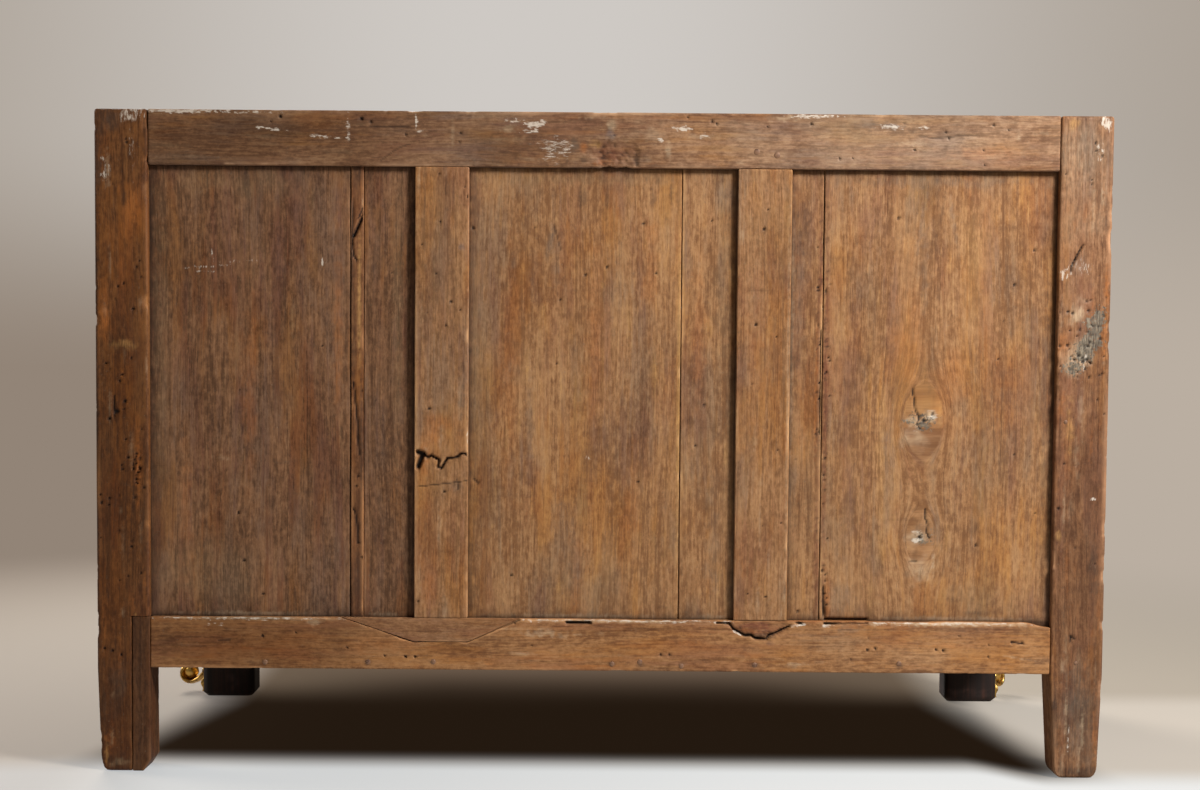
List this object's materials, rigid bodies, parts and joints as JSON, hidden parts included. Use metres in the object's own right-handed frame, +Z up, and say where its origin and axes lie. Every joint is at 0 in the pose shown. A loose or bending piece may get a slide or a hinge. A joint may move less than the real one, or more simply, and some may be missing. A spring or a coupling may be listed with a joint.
{
  "type": "commode",
  "caption": "Antique chest of drawers: oak frame-and-panel back, bowed drawer fronts that slide, swinging drop handles, drawer locks and bronze-shod front feet.",
  "frame": {"origin": "on the floor, below the middle of the commode's overall box", "axes": "+Z up, the drawers' fronts face -Y, +X to the right as seen from the front"},
  "size_m": [1.26, 0.6446, 0.826],
  "materials": {
    "frame_oak": "dry aged oak, unpolished",
    "panel_oak": "dry aged oak boards",
    "dark_veneer": "dark polished veneer",
    "lining_oak": "plain planed oak",
    "gilt_bronze": "worn gilding",
    "lock_iron": "dull wrought iron"
  },
  "bodies": {
    "carcass": {"rear_post_left": "frame_oak", "rear_post_right": "frame_oak", "rear_leg_splice": "frame_oak", "rear_top_rail": "frame_oak", "rear_bottom_rail": "frame_oak", "rear_rail_patch": "frame_oak", "muntin_left": "frame_oak", "muntin_right": "frame_oak", "back_panel_centre": "panel_oak", "back_board_left_wide": "panel_oak", "back_board_left_narrow": "panel_oak", "back_board_right_wide": "panel_oak", "back_board_right_narrow": "panel_oak", "front_post_left": "dark_veneer", "front_post_right": "dark_veneer", "side_panel_left": "dark_veneer", "side_panel_right": "dark_veneer", "front_top_rail": "dark_veneer", "upper_divider": "dark_veneer", "lower_divider": "dark_veneer", "front_apron": "dark_veneer", "top_board": "lining_oak", "bottom_board": "lining_oak", "lower_dust_board": "lining_oak", "upper_dust_board": "lining_oak", "sabot_left": "gilt_bronze", "sabot_right": "gilt_bronze"},
    "bottom_drawer": {"bottom_drawer_front": "dark_veneer", "bottom_drawer_left_side": "lining_oak", "bottom_drawer_right_side": "lining_oak", "bottom_drawer_back": "lining_oak", "bottom_drawer_bottom": "lining_oak", "bottom_drawer_lock": "lock_iron", "bottom_drawer_left_handle_plate": "gilt_bronze", "bottom_drawer_right_handle_plate": "gilt_bronze"},
    "bottom_drawer_bolt": {"bottom_drawer_bolt": "lock_iron"},
    "bottom_drawer_left_handle_bail": {"bottom_drawer_left_handle_bail": "gilt_bronze"},
    "bottom_drawer_right_handle_bail": {"bottom_drawer_right_handle_bail": "gilt_bronze"},
    "middle_drawer": {"middle_drawer_front": "dark_veneer", "middle_drawer_left_side": "lining_oak", "middle_drawer_right_side": "lining_oak", "middle_drawer_back": "lining_oak", "middle_drawer_bottom": "lining_oak", "middle_drawer_lock": "lock_iron", "middle_drawer_left_handle_plate": "gilt_bronze", "middle_drawer_right_handle_plate": "gilt_bronze"},
    "middle_drawer_bolt": {"middle_drawer_bolt": "lock_iron"},
    "middle_drawer_left_handle_bail": {"middle_drawer_left_handle_bail": "gilt_bronze"},
    "middle_drawer_right_handle_bail": {"middle_drawer_right_handle_bail": "gilt_bronze"},
    "top_drawer": {"top_drawer_front": "dark_veneer", "top_drawer_left_side": "lining_oak", "top_drawer_right_side": "lining_oak", "top_drawer_back": "lining_oak", "top_drawer_bottom": "lining_oak", "top_drawer_lock": "lock_iron", "top_drawer_left_handle_plate": "gilt_bronze", "top_drawer_right_handle_plate": "gilt_bronze"},
    "top_drawer_bolt": {"top_drawer_bolt": "lock_iron"},
    "top_drawer_left_handle_bail": {"top_drawer_left_handle_bail": "gilt_bronze"},
    "top_drawer_right_handle_bail": {"top_drawer_right_handle_bail": "gilt_bronze"}
  },
  "joints": [
    {"name": "bottom_drawer_slide", "type": "slide", "parent": "carcass", "child": "bottom_drawer", "axis": [0, -1, 0], "range_m": [0, 0.38]},
    {"name": "bottom_drawer_bolt_throw", "type": "slide", "parent": "bottom_drawer", "child": "bottom_drawer_bolt", "axis": [0, 0, 1], "range_m": [0, 0.01]},
    {"name": "bottom_drawer_left_bail_swing", "type": "hinge", "parent": "bottom_drawer", "child": "bottom_drawer_left_handle_bail", "pos_m": [-0.27091, -0.31148, 0.2815], "axis": [-0.9978, 0.0662, 0], "range_deg": [0, 160]},
    {"name": "bottom_drawer_right_bail_swing", "type": "hinge", "parent": "bottom_drawer", "child": "bottom_drawer_right_handle_bail", "pos_m": [0.27091, -0.31148, 0.2815], "axis": [-0.9978, -0.0662, 0], "range_deg": [0, 160]},
    {"name": "middle_drawer_slide", "type": "slide", "parent": "carcass", "child": "middle_drawer", "axis": [0, -1, 0], "range_m": [0, 0.38]},
    {"name": "middle_drawer_bolt_throw", "type": "slide", "parent": "middle_drawer", "child": "middle_drawer_bolt", "axis": [0, 0, 1], "range_m": [0, 0.01]},
    {"name": "middle_drawer_left_bail_swing", "type": "hinge", "parent": "middle_drawer", "child": "middle_drawer_left_handle_bail", "pos_m": [-0.27091, -0.31148, 0.5065], "axis": [-0.9978, 0.0662, 0], "range_deg": [0, 160]},
    {"name": "middle_drawer_right_bail_swing", "type": "hinge", "parent": "middle_drawer", "child": "middle_drawer_right_handle_bail", "pos_m": [0.27091, -0.31148, 0.5065], "axis": [-0.9978, -0.0662, 0], "range_deg": [0, 160]},
    {"name": "top_drawer_slide", "type": "slide", "parent": "carcass", "child": "top_drawer", "axis": [0, -1, 0], "range_m": [0, 0.38]},
    {"name": "top_drawer_bolt_throw", "type": "slide", "parent": "top_drawer", "child": "top_drawer_bolt", "axis": [0, 0, 1], "range_m": [0, 0.01]},
    {"name": "top_drawer_left_bail_swing", "type": "hinge", "parent": "top_drawer", "child": "top_drawer_left_handle_bail", "pos_m": [-0.27091, -0.31148, 0.713], "axis": [-0.9978, 0.0662, 0], "range_deg": [0, 160]},
    {"name": "top_drawer_right_bail_swing", "type": "hinge", "parent": "top_drawer", "child": "top_drawer_right_handle_bail", "pos_m": [0.27091, -0.31148, 0.713], "axis": [-0.9978, -0.0662, 0], "range_deg": [0, 160]}
  ]
}
